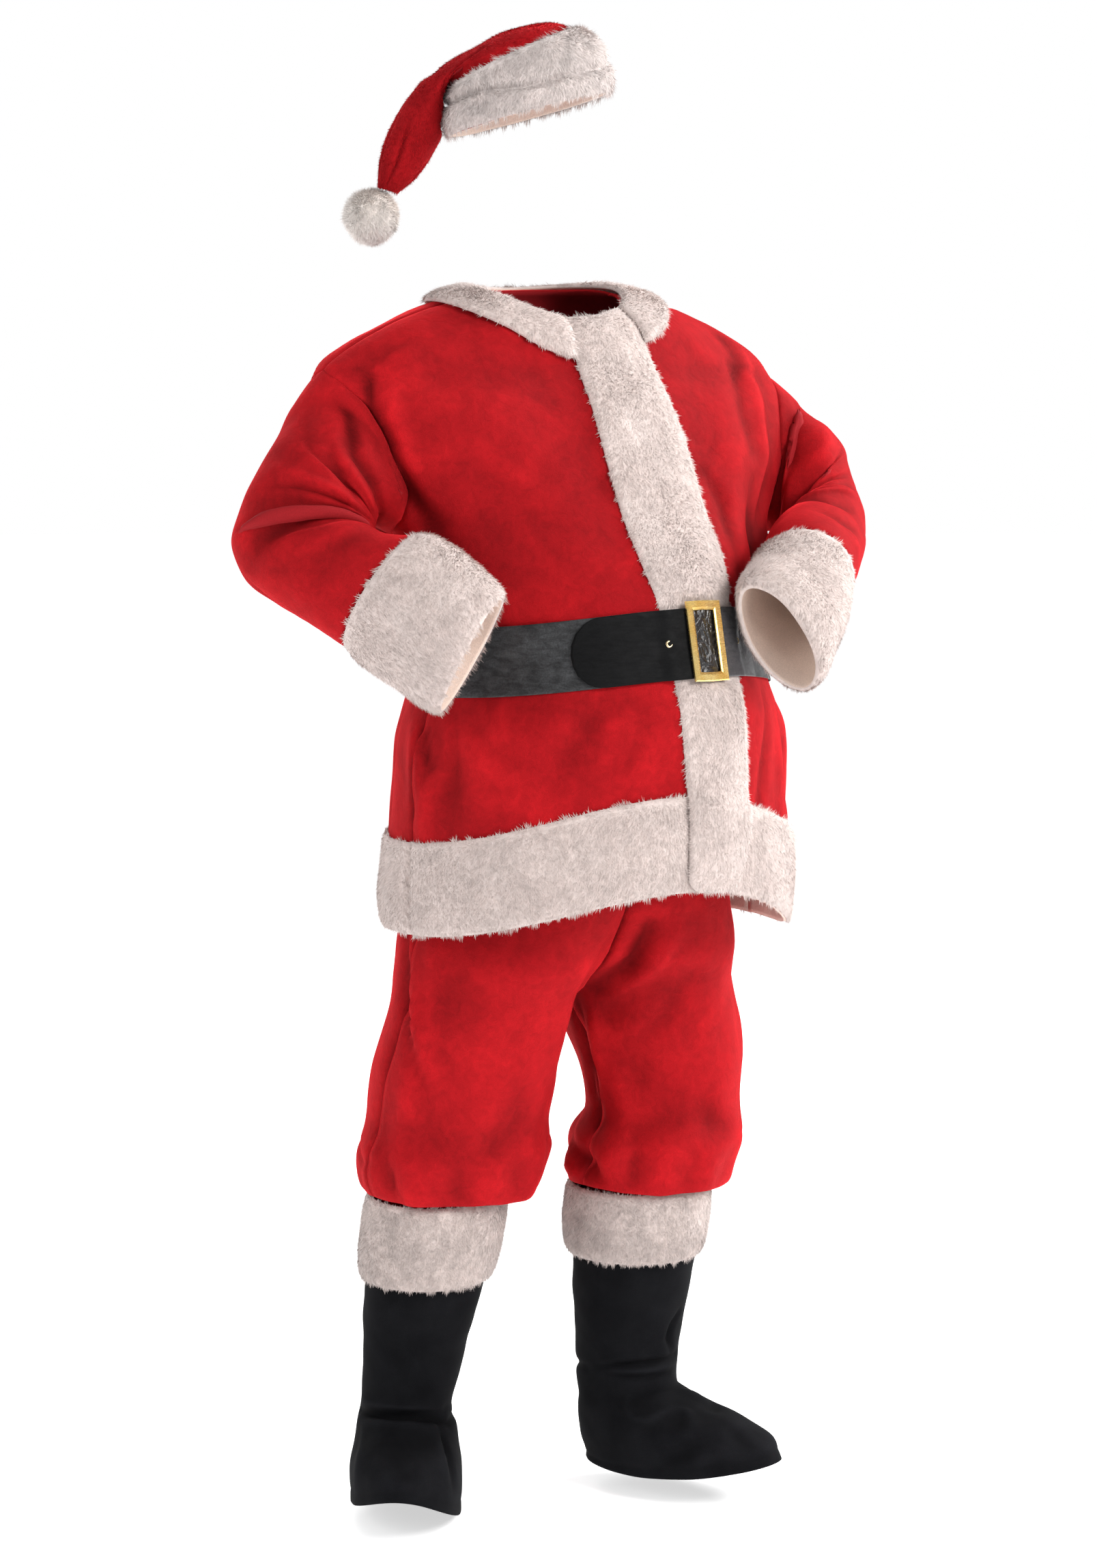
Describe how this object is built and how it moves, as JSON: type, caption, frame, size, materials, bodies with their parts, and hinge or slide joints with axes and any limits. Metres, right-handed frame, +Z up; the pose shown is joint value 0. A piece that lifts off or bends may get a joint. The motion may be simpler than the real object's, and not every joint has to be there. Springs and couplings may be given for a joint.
{
  "type": "santa suit",
  "caption": "Santa suit as worn: red plush coat, trousers and hat with white fur trims, black belt with a gold buckle, and black cloth boot tops.",
  "frame": {"origin": "the middle of the neck's base, where the coat hangs on its wearer's shoulders", "axes": "+Z up, -Y to the wearer's front, +X to the wearer's left"},
  "size_m": [0.8705, 0.5378, 1.8356],
  "materials": {
    "red_plush": "short plush pile",
    "white_fur": "long soft pile",
    "black_vinyl": "grained vinyl",
    "gold_metal": "polished",
    "black_cloth": "matt woven"
  },
  "bodies": {
    "root": {"belt": "black_vinyl", "boot_cuff_left": "white_fur", "boot_cuff_right": "white_fur", "boot_top_left": "black_cloth", "boot_top_right": "black_cloth", "buckle": "gold_metal", "coat_back": "red_plush", "coat_front_left": "red_plush", "coat_front_right": "red_plush", "collar": "white_fur", "cuff_left": "white_fur", "cuff_right": "white_fur", "eyelet_side": "gold_metal", "eyelet_tongue": "gold_metal", "front_band": "white_fur", "hat_band": "white_fur", "hat_crown": "red_plush", "hat_pompom": "white_fur", "hem_band_back": "white_fur", "hem_band_left": "white_fur", "hem_band_right": "white_fur", "sleeve_left": "red_plush", "sleeve_right": "red_plush", "trousers_left_back": "red_plush", "trousers_left_front": "red_plush", "trousers_right_back": "red_plush", "trousers_right_front": "red_plush", "trousers_waistband": "red_plush"}
  },
  "joints": []
}
